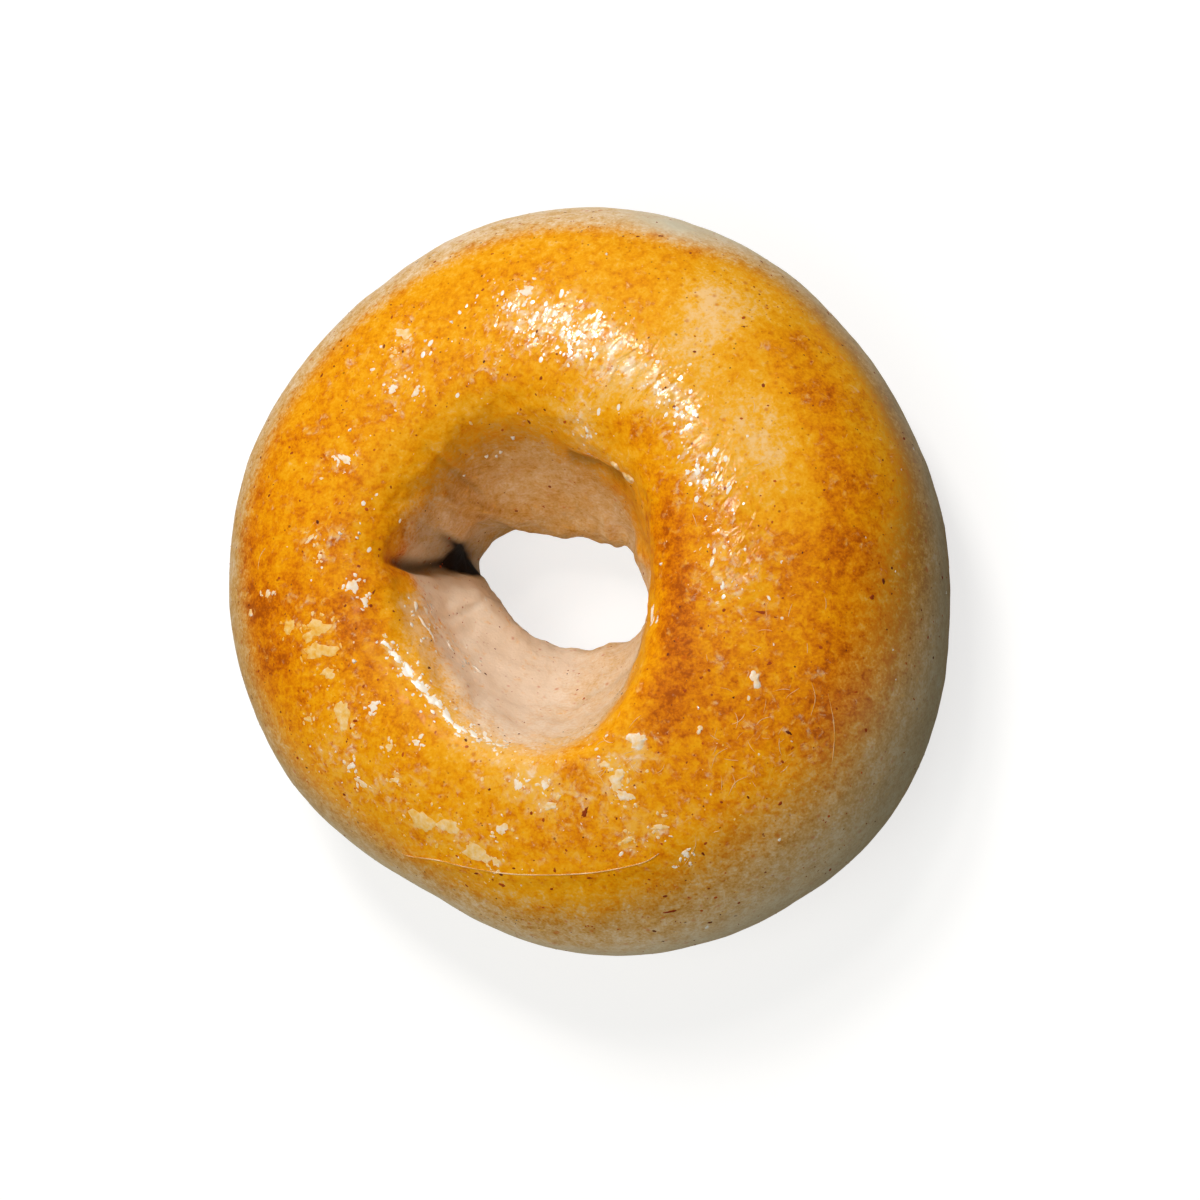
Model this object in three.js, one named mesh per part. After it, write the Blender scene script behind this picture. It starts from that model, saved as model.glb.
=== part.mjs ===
// A plain bagel: one ring of boiled and baked dough, plump and a little lopsided. Its hole is a funnel,
// steep on the far side and easy on the near side, and ends in a pointed corner on the left.
//
// Millimetres, +Z up. The origin is at the middle of the bagel's box, on the table it rests on.
// The dough is lofted through rings. Each ring is a closed line round the hole, with its own middle,
// height and radius, and the skin is a smooth closed curve through all of them at every angle.

import * as THREE from "three";
import { ParametricGeometry } from "three/addons/geometries/ParametricGeometry.js";

// Driving dimensions, in mm. The widths leave out the swells further down.
const across = 110.8; // the whole bagel at its waist
const tall = 40.6; // table to the crest
const holeAcross = 16.1; // the hole at its narrowest, just above the table
const funnelAcross = 29.6; // the hole at half its depth
const mouthAcross = 38; // the hole where it opens out on top
const rimWidth = 3.6; // the rounded rim between the flat top and the mouth
const crestAcross = 62; // the highest line of the dough
const footAcross = 58; // middle line of the flat underside
const lipBelow = 4.5; // how far the hole opens again at the table
const sink = 2.2; // how far the underside would sink in, pressed flat instead
const footSoftness = 1.2; // how gradually the rounded dough turns into the flat foot

// Mesh density.
const stepsAround = 120; // round the hole
const stepsOver = 42; // under the foot, up the side, over the crest and down the hole

const radians = THREE.MathUtils.degToRad;

// A smooth rise of height 1 at one direction, down to 1/e at a spread of degrees to either side.
function swell(angle, at, spread, spreadBefore = spread) {
  const turn = radians(angle - at);
  const side = Math.sin(turn) < 0 ? spreadBefore : spread;
  return Math.exp((Math.cos(turn) - 1) / (1 - Math.cos(radians(side))));
}

// A mean value plus its swells, as [amount, direction, spread after it, spread before it] each.
const uneven = (mean, swells) => (angle) =>
  swells.reduce((sum, [amount, ...where]) => sum + amount * swell(angle, ...where), mean);

// Directions are degrees from the right side, the way that goes by the far side to the left.
const outline = uneven(across / 2, [
  [-1.0, 30, 24],
  [2.3, 96, 34], // far side
  [1.8, 158, 32],
  [-2.6, 238, 20], // pressed nearly flat
  [2.0, 283, 24], // near side
  [4.1, 320, 27], // heaviest shoulder
]);

const throat = uneven(holeAcross / 2, [
  [2.1, 28, 27],
  [6.8, 155, 23, 34], // pointed corner
  [1.8, 189, 34],
  [0.6, 266, 32],
  [5.9, 335, 34],
]);

const funnel = uneven(funnelAcross / 2, [
  [2.0, 38, 25],
  [3.2, 171, 12], // crease above the corner
  [6.6, 292, 40], // the easy slope
  [2.6, 350, 30],
]);

const mouth = uneven(mouthAcross / 2, [
  [2.6, 40, 30],
  [2.6, 94, 26],
  [1.0, 172, 12], // the crease runs out
  [8.6, 290, 42],
  [1.4, 355, 30],
]);

const crest = uneven(crestAcross / 2, [[1.2, 120, 40]]);

// How high the dough stands, and the shares of it at which the top bends into the hole and at which the
// hole is narrowest.
const rise = uneven(tall, [
  [1.6, 315, 45],
  [1.0, 80, 30],
]);
const bend = uneven(0.905, [[-0.075, 296, 42]]);
const neck = uneven(0.2, [[0.19, 197, 41]]);

// The rings, from the hole's narrowest line down under the foot, up the side, over the crest and back.
// A ring's height is a share of the rise, less its sink.
const rings = [
  { name: "throat", middle: [-5.6, 0.2], share: neck, radius: throat },
  { name: "holeEdge", middle: [-4.6, 0.2], share: () => 0.02, radius: (a) => lipBelow + throat(a) },
  { name: "foot", middle: [-2.5, 0.5], share: () => 0, sink, radius: () => footAcross / 2 },
  { name: "footEdge", middle: [-0.4, 0], share: () => 0, sink: 0.3 * sink, radius: (a) => 0.8 * outline(a) },
  { name: "heel", middle: [0, 0], share: () => 0.17, radius: (a) => 0.945 * outline(a) },
  { name: "waist", middle: [0, 0], share: () => 0.42, radius: outline },
  { name: "side", middle: [-0.3, 0], share: () => 0.685, radius: (a) => 0.955 * outline(a) },
  { name: "shoulder", middle: [-1.2, 0], share: () => 0.9, radius: (a) => 0.81 * outline(a) },
  { name: "crest", middle: [-3.0, -2.5], share: () => 1, radius: crest },
  { name: "rim", middle: [-5.4, 0.2], share: () => 0.98, radius: (a) => rimWidth + mouth(a) },
  { name: "mouth", middle: [-5.4, 0.2], share: bend, radius: mouth },
  { name: "funnel", middle: [-5.4, 0.2], share: () => 0.55, radius: funnel },
];

function pointOn(ring, angle) {
  const turn = radians(angle);
  const reach = ring.radius(angle);
  const [x, y] = ring.middle;
  const height = ring.share(angle) * rise(angle) - (ring.sink ?? 0);
  return new THREE.Vector3(x + reach * Math.cos(turn), y + reach * Math.sin(turn), height);
}

// What would sink into the table is pressed flat, with a soft turn into the foot.
function settle(z) {
  if (z < -footSoftness) return 0;
  if (z > footSoftness) return z;
  return (z + footSoftness) ** 2 / (4 * footSoftness);
}

// One slice through the dough at an angle round the hole, as a closed curve.
const sliceAt = (angle) =>
  new THREE.CatmullRomCurve3(rings.map((ring) => pointOn(ring, angle)), true, "centripetal");

function skin(u, v, target) {
  sliceAt(360 * (u % 1)).getPoint(v % 1, target);
  target.z = settle(target.z);
}

// Puts the middle of the box over the origin, with the foot on the table.
function centreOnTable(geometry) {
  geometry.computeBoundingBox();
  const middle = geometry.boundingBox.getCenter(new THREE.Vector3());
  geometry.translate(-middle.x, -middle.y, -geometry.boundingBox.min.z);
  return geometry;
}

const crust = new THREE.MeshStandardMaterial({ color: 0xe0900c, roughness: 0.35, metalness: 0 });

const bagel = new THREE.Mesh(centreOnTable(new ParametricGeometry(skin, stepsAround, stepsOver)), crust);
bagel.name = "bagel";

const group = new THREE.Group();
group.add(bagel);

export default group;
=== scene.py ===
import math
import random

import bmesh
import bpy
import numpy as np
from mathutils import Matrix, Vector
from mathutils.bvhtree import BVHTree


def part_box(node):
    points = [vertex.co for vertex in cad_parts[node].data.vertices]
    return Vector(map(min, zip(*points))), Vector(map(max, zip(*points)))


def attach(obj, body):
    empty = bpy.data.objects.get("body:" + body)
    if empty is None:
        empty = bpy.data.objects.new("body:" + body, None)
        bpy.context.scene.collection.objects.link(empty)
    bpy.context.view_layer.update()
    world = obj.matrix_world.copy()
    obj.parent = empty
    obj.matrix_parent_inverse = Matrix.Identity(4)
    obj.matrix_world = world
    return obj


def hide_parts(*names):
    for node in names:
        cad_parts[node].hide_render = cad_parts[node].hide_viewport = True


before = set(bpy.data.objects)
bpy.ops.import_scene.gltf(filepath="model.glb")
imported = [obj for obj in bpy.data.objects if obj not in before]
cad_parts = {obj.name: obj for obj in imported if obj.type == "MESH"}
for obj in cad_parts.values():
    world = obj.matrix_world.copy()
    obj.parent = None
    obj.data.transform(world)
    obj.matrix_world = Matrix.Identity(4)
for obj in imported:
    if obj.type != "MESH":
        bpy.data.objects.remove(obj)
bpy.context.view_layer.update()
scene = bpy.context.scene
mm = 0.001


# Adds a node, sets or links its inputs, and gives a colour ramp its stops.
def addNode(tree, kind, inputs=None, stops=None, **settings):
    made = tree.nodes.new(kind)
    for name, value in settings.items():
        setattr(made, name, value)
    for name, value in (inputs or {}).items():
        if isinstance(value, bpy.types.NodeSocket):
            tree.links.new(value, made.inputs[name])
        else:
            made.inputs[name].default_value = value
    if stops:
        ramp = made.color_ramp.elements
        while len(ramp) < len(stops):
            ramp.new(0.5)
        for element, (position, code) in zip(ramp, stops):
            element.position = position
            element.color = fromHex(code)
    return made


def fromHex(code):
    channels = [int(code[i:i + 2], 16) / 255 for i in (0, 2, 4)]
    linear = [c / 12.92 if c <= 0.04045 else ((c + 0.055) / 1.055) ** 2.4 for c in channels]
    return (*linear, 1.0)


def newMaterial(name):
    material = bpy.data.materials.new(name)
    material.use_nodes = True
    material.node_tree.nodes.clear()
    return material, material.node_tree


def addObject(name, data):
    made = bpy.data.objects.new(name, data)
    scene.collection.objects.link(made)
    return made


# Adds weighted values together: start + value * share + value * share ...
def weigh(tree, start, *terms):
    total = start
    for value, share in terms:
        total = addNode(
            tree, "ShaderNodeMath", {0: value, 1: share, 2: total}, operation="MULTIPLY_ADD").outputs[0]
    return total


# Replaces a piece's live modifiers with the plain mesh that they make.
def bakeModifiers(piece):
    depsgraph = bpy.context.evaluated_depsgraph_get()
    made = bpy.data.meshes.new_from_object(
        piece.evaluated_get(depsgraph), preserve_all_data_layers=True, depsgraph=depsgraph)
    piece.modifiers.clear()
    piece.data = made
    made.name = piece.name
    return made


# Starts a Geometry Nodes tree with named sizes, and ends one.
def newTree(name, sizes):
    tree = bpy.data.node_groups.new(name, "GeometryNodeTree")
    tree.interface.new_socket("Geometry", in_out="INPUT", socket_type="NodeSocketGeometry")
    tree.interface.new_socket("Geometry", in_out="OUTPUT", socket_type="NodeSocketGeometry")
    for size in sizes:
        tree.interface.new_socket(size, in_out="INPUT", socket_type="NodeSocketFloat")
    tree.interface.new_socket("Material", in_out="INPUT", socket_type="NodeSocketMaterial")
    return tree, addNode(tree, "NodeGroupInput").outputs


def endTree(tree, geometry, given, smooth=True):
    real = addNode(tree, "GeometryNodeRealizeInstances", {"Geometry": geometry})
    settled = addNode(tree, "ShaderNodeVectorMath", {  # nothing goes below the table
        0: addNode(tree, "GeometryNodeInputPosition").outputs["Position"], 1: (-1.0, -1.0, 0.0)},
        operation="MAXIMUM")
    moved = addNode(tree, "GeometryNodeSetPosition", {
        "Geometry": real.outputs["Geometry"], "Position": settled.outputs["Vector"]})
    shaded = addNode(tree, "GeometryNodeSetShadeSmooth", {
        "Geometry": moved.outputs["Geometry"], "Shade Smooth": smooth})
    dressed = addNode(tree, "GeometryNodeSetMaterial", {
        "Geometry": shaded.outputs["Geometry"], "Material": given["Material"]})
    addNode(tree, "NodeGroupOutput", {"Geometry": dressed.outputs["Geometry"]})


# Runs a tree on a piece and keeps the result as a mesh. Sizes are in mm, apart from the ones in plain.
def runTree(piece, tree, material, sizes, plain=()):
    modifier = piece.modifiers.new(tree.name, "NODES")
    modifier.node_group = tree
    for item in tree.interface.items_tree:
        if item.item_type != "SOCKET" or item.in_out != "INPUT":
            continue
        if item.name == "Material":
            modifier[item.identifier] = material
        elif item.name in sizes:
            modifier[item.identifier] = sizes[item.name] * (1.0 if item.name in plain else mm)
    made = bakeModifiers(piece)
    made.materials.clear()
    made.materials.append(material)
    return made


# Camera: above the bagel, leaning towards its lower right.
cameraSet = {
    "lean": 20.0,           # degrees away from straight down
    "towards": -30.0,       # the side it leans to, in degrees from +X
    "distance": 600 * mm,
    "aimRight": 3.47 * mm,  # the bagel sits a little left of and above the middle
    "aimDown": 3.78 * mm,
    "lens": 119.16,
}

lean = math.radians(cameraSet["lean"])
towards = math.radians(cameraSet["towards"])
fromBagel = Vector((math.sin(lean) * math.cos(towards), math.sin(lean) * math.sin(towards), math.cos(lean)))
lowest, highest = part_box("bagel")
middle = (lowest + highest) / 2
up = (Vector((0, 1, 0)) - fromBagel * fromBagel.y).normalized()
right = up.cross(fromBagel)
cameraPlace = middle + fromBagel * cameraSet["distance"]
aim = middle + right * cameraSet["aimRight"] - up * cameraSet["aimDown"]
back = (cameraPlace - aim).normalized()
up = (up - back * up.dot(back)).normalized()
right = up.cross(back)
camera = addObject("camera", bpy.data.cameras.new("camera"))
camera.matrix_world = Matrix.Translation(cameraPlace) @ Matrix((right, up, back)).transposed().to_4x4()
camera.data.lens = cameraSet["lens"]
camera.data.clip_start = 0.01
scene.camera = camera

# Three window-like lamps give the glints. The soft lamps leave no mirror image in the glaze.
lamps = {
    "window": {
        "azimuth": 106, "elevation": 58, "distance": 0.9, "across": 0.2, "watts": 3.3, "colour": "fffaf4",
        "glossy": True},
    "secondWindow": {
        "azimuth": 86, "elevation": 67, "distance": 0.9, "across": 0.14, "watts": 1.3, "colour": "fffaf4",
        "glossy": True},
    "lowWindow": {
        "azimuth": 68, "elevation": 33, "distance": 0.9, "across": 0.2, "watts": 0.9, "colour": "ffffff",
        "glossy": True},
    "overhead": {
        "azimuth": 246, "elevation": 62, "distance": 1.3, "across": 1.2, "watts": 7.7, "colour": "fdfdf6",
        "glossy": False},
    "far": {
        "azimuth": 98, "elevation": 9, "distance": 1.2, "across": 0.3, "watts": 3.1, "colour": "fffdf8",
        "glossy": False},
    "near": {
        "azimuth": 216, "elevation": 10, "distance": 1.2, "across": 0.35, "watts": 2.3, "colour": "fdfdf6",
        "glossy": False},
    "side": {
        "azimuth": 318, "elevation": 8, "distance": 1.2, "across": 0.3, "watts": 0.4, "colour": "d8f4d8",
        "glossy": False},
}
for name, lamp in lamps.items():
    data = bpy.data.lights.new(name, "AREA")
    data.shape = "DISK"
    data.size = lamp["across"]
    data.energy = lamp["watts"]
    data.color = fromHex(lamp["colour"])[:3]
    turn = math.radians(lamp["azimuth"])
    rise = math.radians(lamp["elevation"])
    away = Vector((math.cos(rise) * math.cos(turn), math.cos(rise) * math.sin(turn), math.sin(rise)))
    light = addObject(name, data)
    light.matrix_world = (
        Matrix.Translation(away * lamp["distance"]) @ away.to_track_quat("Z", "Y").to_matrix().to_4x4())
    light.visible_glossy = lamp["glossy"]

# The room is dim above, and below it the white table throws light back up.
world = bpy.data.worlds.new("softRoom")
world.use_nodes = True
world.node_tree.nodes.clear()
lookUp = addNode(world.node_tree, "ShaderNodeSeparateXYZ", {
    0: addNode(world.node_tree, "ShaderNodeTexCoord").outputs["Generated"]}).outputs["Z"]
strength = addNode(world.node_tree, "ShaderNodeMapRange", {
    "Value": lookUp, "From Min": -0.1, "From Max": 0.15, "To Min": 0.26, "To Max": 0.04}).outputs["Result"]
background = addNode(world.node_tree, "ShaderNodeBackground", {
    "Color": fromHex("eef2ea"), "Strength": strength})
addNode(world.node_tree, "ShaderNodeOutputWorld", {"Surface": background.outputs["Background"]})
scene.world = world
scene.view_settings.view_transform = "Standard"

# The floor is white paper that keeps its own shadows light.
floorMesh = bpy.data.meshes.new("floor")
floorMesh.from_pydata([(-3, -3, 0), (3, -3, 0), (3, 3, 0), (-3, 3, 0)], [], [(0, 1, 2, 3)])
floor = addObject("floor", floorMesh)
floor.visible_diffuse = False
floor.visible_glossy = False
paper, tree = newMaterial("whitePaper")
matt = addNode(tree, "ShaderNodeBsdfDiffuse", {"Color": fromHex("a2a2a2")})
glow = addNode(tree, "ShaderNodeEmission", {"Color": fromHex("ffffff"), "Strength": 0.72})
both = addNode(tree, "ShaderNodeAddShader", {0: matt.outputs["BSDF"], 1: glow.outputs["Emission"]})
addNode(tree, "ShaderNodeOutputMaterial", {"Surface": both.outputs["Shader"]})
floorMesh.materials.append(paper)
print("camera, lamps and floor")

# The crust. The node's loose triangles are merged and turned back into quads, then smoothed.
crustMesh = bpy.data.meshes.new("bagelCrust")
source = bmesh.new()
source.from_mesh(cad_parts["bagel"].data)
bmesh.ops.remove_doubles(source, verts=source.verts, dist=1e-6)
bmesh.ops.join_triangles(
    source, faces=source.faces, angle_face_threshold=math.pi, angle_shape_threshold=math.pi)
source.to_mesh(crustMesh)
source.free()
crust = addObject("bagelCrust", crustMesh)
smoother = crust.modifiers.new("smoother", "SUBSURF")
smoother.levels = 2
smoother.render_levels = 2
crustMesh = bakeModifiers(crust)
crustMesh.materials.clear()
print("crust of", len(crustMesh.vertices), "points")


# A value that changes round the hole, from its values at a few directions in degrees.
def around(angles, values):
    return np.interp(angles, list(values), list(values.values()), period=360)


# 1 at the middle of a band and close to 0 past twice its half width.
def bell(values, middle, halfWidth):
    return np.exp(-((values - middle) / halfWidth) ** 2)


# Soft oval spots seen from above, as [x, y, half width, half length, turn, amount] in mm and degrees.
def spots(points, places):
    total = np.zeros(len(points))
    for x, y, wide, long, turn, amount in places:
        c, s = math.cos(math.radians(turn)), math.sin(math.radians(turn))
        dx, dy = points[:, 0] - x, points[:, 1] - y
        total += amount * np.exp(-((dx * c + dy * s) / wide) ** 2 - ((dy * c - dx * s) / long) ** 2)
    return total


# Soft lines seen from above, as [half width, amount, places in mm].
def strokes(points, lines):
    total = np.zeros(len(points))
    for halfWidth, amount, line in lines:
        nearest = np.full(len(points), np.inf)
        for start, end in zip(line[:-1], line[1:]):
            a, b = np.array(start, float), np.array(end, float)
            run = b - a
            share = np.clip(((points - a) @ run) / (run @ run), 0, 1)
            nearest = np.minimum(nearest, np.linalg.norm(points - a - share[:, None] * run, axis=1))
        total += amount * bell(nearest, 0, halfWidth)
    return total


crustLayout = {
    "ringMiddle": (-3.0, -1.0),
    # Latitude over the dough's own roundness at which the browning ends: 0 faces outward, 90 up.
    "outerEdge": {
        0: 37, 12: 24, 25: 22, 50: 26, 63: 37, 75: 42, 100: 48, 140: 50, 180: 46, 220: 37, 250: 36, 280: 40,
        310: 52, 335: 44},
    "outerSoftness": {0: 13, 25: 6, 50: 8, 75: 6, 140: 7, 220: 7, 280: 8, 310: 13, 335: 13},
    # Height in mm at which the browning ends inside the hole.
    "innerEdge": {
        0: 22, 25: 14, 45: 22, 60: 25, 69: 28, 82: 30.5, 96: 33.5, 125: 34, 157: 34.5, 168: 32, 177: 30,
        190: 31, 210: 31.8, 230: 33.5, 245: 36.2, 260: 38.2, 280: 39.2, 310: 35, 335: 31.5},
    "innerSoftness": {
        0: 2, 45: 3, 75: 4, 100: 3.8, 140: 3.6, 165: 2.4, 190: 1.6, 220: 2.6, 250: 3.4, 280: 2.6, 310: 2.4},
    # Deeper browning above 0 and paler below: just over the outer edge, on the crest and in the hole.
    "shoulder": {
        0: 0.3, 25: 0.14, 50: 0, 95: -0.1, 140: 0, 180: 0.26, 212: 0.16, 250: 0, 290: 0, 318: 0.05,
        340: 0.26},
    "crestTone": {
        0: 0.2, 25: 0.06, 55: -0.08, 90: 0.04, 140: 0.12, 182: 0.2, 230: 0.1, 270: 0.06, 300: 0.14,
        335: 0.26},
    # In the hole, the far wall is made darker, partly as painted shade, and the left wall much paler, as
    # painted light.
    "hollowToneAndPaintedLight": {
        30: 0.2, 60: 0.32, 90: 0.42, 140: 0.4, 162: 0, 180: -0.6, 220: -0.5, 250: -0.3, 280: 0.02,
        310: 0.12, 335: 0.12},
    # The same for the bare dough outside.
    "outerTone": {
        0: 0.3, 25: 0.24, 50: 0.08, 63: -0.1, 75: -0.18, 130: -0.1, 180: 0.06, 220: 0.08, 250: 0.02,
        280: 0.06, 310: 0.12, 335: 0.16},
    # How far from the waist, in degrees of latitude, the side is painted grey: painted shade, a grey-green
    # tint for the dimly lit sides.
    "shadeGreyReach": {
        0: 12, 30: 12, 60: 14, 90: 13, 140: 16, 180: 22, 220: 23, 250: 16, 280: 10, 310: 22, 335: 28},
    "tone": [  # deeper orange above 0, paler below
        (4.4, 26.8, 2.2, 3, 0, 0.16), (13.5, 17.9, 4.5, 2.4, -10, 0.28), (18.9, 17.9, 2.5, 1.8, 0, 0.2),
        (16.5, 11.5, 4, 1.8, -20, 0.1), (24.4, 31, 5, 6, -30, -0.3), (27.5, 37, 6, 5, -40, -0.32),
        (32, 17.5, 5, 7, 20, -0.34), (36, 10, 5, 6, 0, -0.26), (40.5, 24, 3, 9, 28, 0.16),
        # Painted light: the wide pale band at y 15.5 lightens the far rim's inner slope, which faces away
        # from the main lamp.
        (-3, 15.5, 14, 3, 0, -0.14), (10, 16, 4, 3, -40, -0.1),
        (42.7, -1.8, 5, 5, 0, 0.12), (41.5, -18, 6, 9, 0, 0.06), (34.4, -25.9, 8, 5, -10, 0.1),
        (30, -6, 6, 8, 0, -0.12), (-43.7, -5.1, 4, 2.5, 0, 0.15), (-40.6, -13.6, 5, 2.5, 0, 0.15),
        (-23.5, 0, 3.2, 9, 0, 0.08), (-5, 22, 7, 3, 0, 0.06), (-2, -26, 10, 3, 5, -0.3),
        # Painted light on the far rim's inner slope, as above.
        (2, 21, 14, 3, 0, -0.12),
    ],
    "bands": [
        (3.4, 0.24, [(19.3, 3.9), (21.0, -7.5), (22.1, -17.6), (20.3, -25)]),
        (2.6, -0.44, [(-21.6, -6), (-19.6, -12), (-16, -17.4), (-11.8, -22), (-6, -26)]),
    ],
    "rimArc": [  # half width in mm and amount, along the glossy line on the hole's near left rim, where a pale film is also laid on as a painted highlight
        (0.9, 1.0, [(-23.8, -12.2), (-20.5, -16.3), (-16.3, -21.0), (-12.2, -25.1), (-8.1, -26.9),
                    (-5.4, -28.2)]),
        (0.8, 0.4, [(-21.5, -5.0), (-20.3, -8.2), (-19.2, -9.8), (-17.7, -11.2), (-14.6, -14.2)]),
    ],
    "milky": [  # where flour and dried wash leave a pale film; in the glint zones it is also painted sheen
        (6, 33, 11, 5.5, -25, 0.7), (-2, 36.7, 6, 4, 0, 0.6), (-7.3, 28, 3, 3, 0, 0.6),
        (13.5, 26.5, 5, 4, -30, 1.0), (6.1, 19.8, 2.4, 4.5, 0, 1.2), (19.9, 21.6, 4, 5, -40, 0.8),
        (25.8, 10.6, 4.5, 6, -30, 0.65), (29.4, -6, 7, 9, 0, 0.65), (24.8, 17, 3, 3, 0, 0.7),
        (12.4, -33.9, 5, 6, -15, 0.9), (14.8, -30.5, 4, 3, 20, 0.8),
        (-8, -29.5, 8, 2.5, -18, 0.8), (0, -29, 8, 3, 5, 0.6), (-2.7, -34, 7, 4, 0, 0.8),
        (1.8, -36, 6, 4, 0, 0.7), (-34, -10.5, 5, 4, 0, 0.6),
        (-30.5, -22.5, 5, 6, 10, 0.5), (-36, -26, 4, 6, 40, 0.5), (-22.5, -32, 9, 4, -20, 0.55),
        (-14, -41, 11, 4, -22, 0.6), (-30, -33, 6, 4, -40, 0.4), (-22, 35, 4, 4, 0, 0.6),
        (-22.8, 27, 8, 6, 20, 0.5), (-30.3, 16, 4, 3, 30, 0.5), (-34, 2.5, 6, 5, 40, 0.6),
        (36, -28, 6, 10, 0, 0.3), (28, -36, 7, 5, 0, 0.4), (18, -40.7, 6, 3, 10, 0.7),
        (8, -43, 8, 3, 0, 0.4),
    ],
    "crinkled": [  # where the dried wash has shrunk into a fine net
        (5, 33.5, 12, 6, -24, 1.0), (-6, 32, 6, 5, 0, 0.6), (13, 26, 6, 5, 0, 0.8),
        (6.2, 19.8, 3, 3.5, 0, 0.5), (20.5, 21.8, 4, 5.5, 32, 1.0), (25.4, 10.6, 4.5, 7, 39, 1.0),
        (29.5, -3, 5, 8, 0, 0.8),
        (-22, 28, 9, 7, 0, 0.5), (-30, -25, 9, 6, 30, 0.3), (-32, 8, 8, 8, 0, 0.3), (34, -27, 8, 8, 0, 0.3),
    ],
    "glossy": [  # where it is thickest: a glossier coat, and near-white flecks that are painted glints
        (7.2, 31.7, 3.2, 2.8, 0, 1.0), (4.0, 34.2, 5, 2.4, -25, 0.7), (-2.6, 36.6, 5.5, 3.2, -35, 0.45),
        (1.5, 31.6, 3, 2.6, 0, 0.35), (10.6, 33, 4, 2.2, -35, 0.4), (20.6, 21.9, 2.3, 4, 32, 0.9),
        (25.4, 10.6, 2.6, 5.4, 39, 0.8), (6.2, 18.9, 1.6, 2.4, 10, 0.4), (14, 28.8, 2.4, 2, -30, 0.35),
        (-19, 30, 6, 4, 20, 0.12), (28, -3, 3, 6, 0, 0.12), (-30, 5, 5, 6, 0, 0.1),
    ],
    "wrinkled": [(17.3, 51.2, 7, 2.2, -18, 1.0), (36, 38, 9, 4, -50, 0.4)],
    "greyed": [(17.3, 51.2, 7, 1.8, -18, 0.8)],
    # Painted shade: a near-black colour laid into the cleft at the hole's left end and along the grooves
    # under folds, where shade falls.
    "creased": [
        (0.7, 0.8, [(-23.6, 1.6), (-22.4, 2.6), (-21.0, 3.2), (-19.6, 3.6)]),
        (0.8, 1.0, [(-20.2, 4.1), (-19.7, 4.8), (-19.3, 5.4)]), (1.5, 0.3, [(-21.6, 4.4), (-20.2, 6.0)]),
        (0.6, 0.45, [(1.5, 16.3), (4.5, 15.3), (6.2, 14.7), (7.8, 13.8), (9.8, 12.6)]),
        (0.5, 0.2, [(-16.4, 15.6), (-15.2, 14.2), (-14.2, 12.8)]),
        (0.6, 0.14, [(11.6, -14.2), (8.4, -14.9), (5.2, -16.3), (2.2, -18.0), (0.5, -19.8)]),
        (0.5, 0.12, [(-16.0, -1.2), (-16.8, -3.2), (-18.2, -5.0)]),
    ],
    "carved": [  # grooves and ridges in mm
        (1.1, -1.8, [(-23.6, 1.4), (-21.8, 2.5), (-20.2, 3.3), (-18.8, 3.9)]),
        (0.8, -0.7, [(1.5, 16.3), (4.5, 15.3), (6.2, 14.7), (7.8, 13.8), (9.8, 12.6)]),
        (1.2, 0.5, [(2.5, 17.8), (5.2, 17.0), (7.4, 16.1), (9.2, 15.0), (11.2, 13.2)]),
        (0.9, -0.25, [(-16.4, 15.6), (-15.2, 14.2), (-14.2, 12.8)]),
        (1.0, 0.5, [(-22.0, -3.6), (-19.9, -10.0), (-17.3, -14.4), (-13.4, -18.8)]),
        (0.8, -0.4, [(11.6, -14.2), (8.4, -14.9), (5.2, -16.3), (2.2, -18.0), (0.5, -19.8)]),
        (0.7, -0.25, [(-16.0, -1.2), (-16.8, -3.2), (-18.2, -5.0)]),
        (1.1, 0.3, [(-22.4, -43.0), (-12.9, -45.1), (-6.2, -46.4), (7.4, -46.8), (15.6, -45.4)]),
        (0.45, 0.5, [(-17.1, 10.5), (-15.5, 11.0), (-13.4, 10.6), (-11.2, 10.0)]),
        (0.35, -0.4, [(-15.4, 9.8), (-13.3, 9.9), (-10.4, 9.4), (-8.4, 8.8)]),
        (0.35, -0.4, [(-8.6, 11.9), (-5.8, 10.7), (-2.8, 9.4)]),
        (0.4, 0.4, [(-3.6, 12.3), (0.0, 11.0), (2.6, 9.3)]),
    ],
    "neckCarved": [  # the same for the narrow part of the hole
        (1.8, -1.6, [(-19.0, 6.0), (-17.8, 7.4)]), (1.6, -1.2, [(-16.6, 8.4), (-15.4, 9.0)]),
        (1.5, -1.4, [(4.2, 7.0), (5.4, 6.4)]), (0.9, 0.5, [(2.0, 7.6), (2.4, 8.2)]),
    ],
    # Where the zones lie, as latitudes in degrees and heights in mm. A band has a middle and a half width.
    "insideFrom": 95,
    "shoulderBand": (54, 15),
    "crestBand": (92, 30),
    "waist": 4,
    "hollowFrom": 110,
    "hollowSoftness": 30,
    "hollowTo": 265,
    "neckFrom": 130,
    "neckCarvedTo": 240,
    "neckTop": 20,
    "neckSoftness": 4,
    "ruffleTo": 255,
    "ruffleBand": (8, 5),
    "footBelow": 3,
    "footEdgeBand": (2.5, 2.2),
    # How strong each is.
    "deepest": 3,
    "shadeGreyStrength": 0.45,
    "arcShares": {"glossy": 0.7, "milky": 1.4},
    # The bare dough: its shade, what it gains next to the crust, and what it loses in the hole.
    "doughShade": 0.42,
    "tan": 0.3,
    "mostTan": 1.2,
    "tanDegrees": 24,  # how far the tan reaches outside
    "tanHeight": 8,    # and inside
    "lessTanInside": 0.1,
    "palerInside": 0.22,
}

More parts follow.
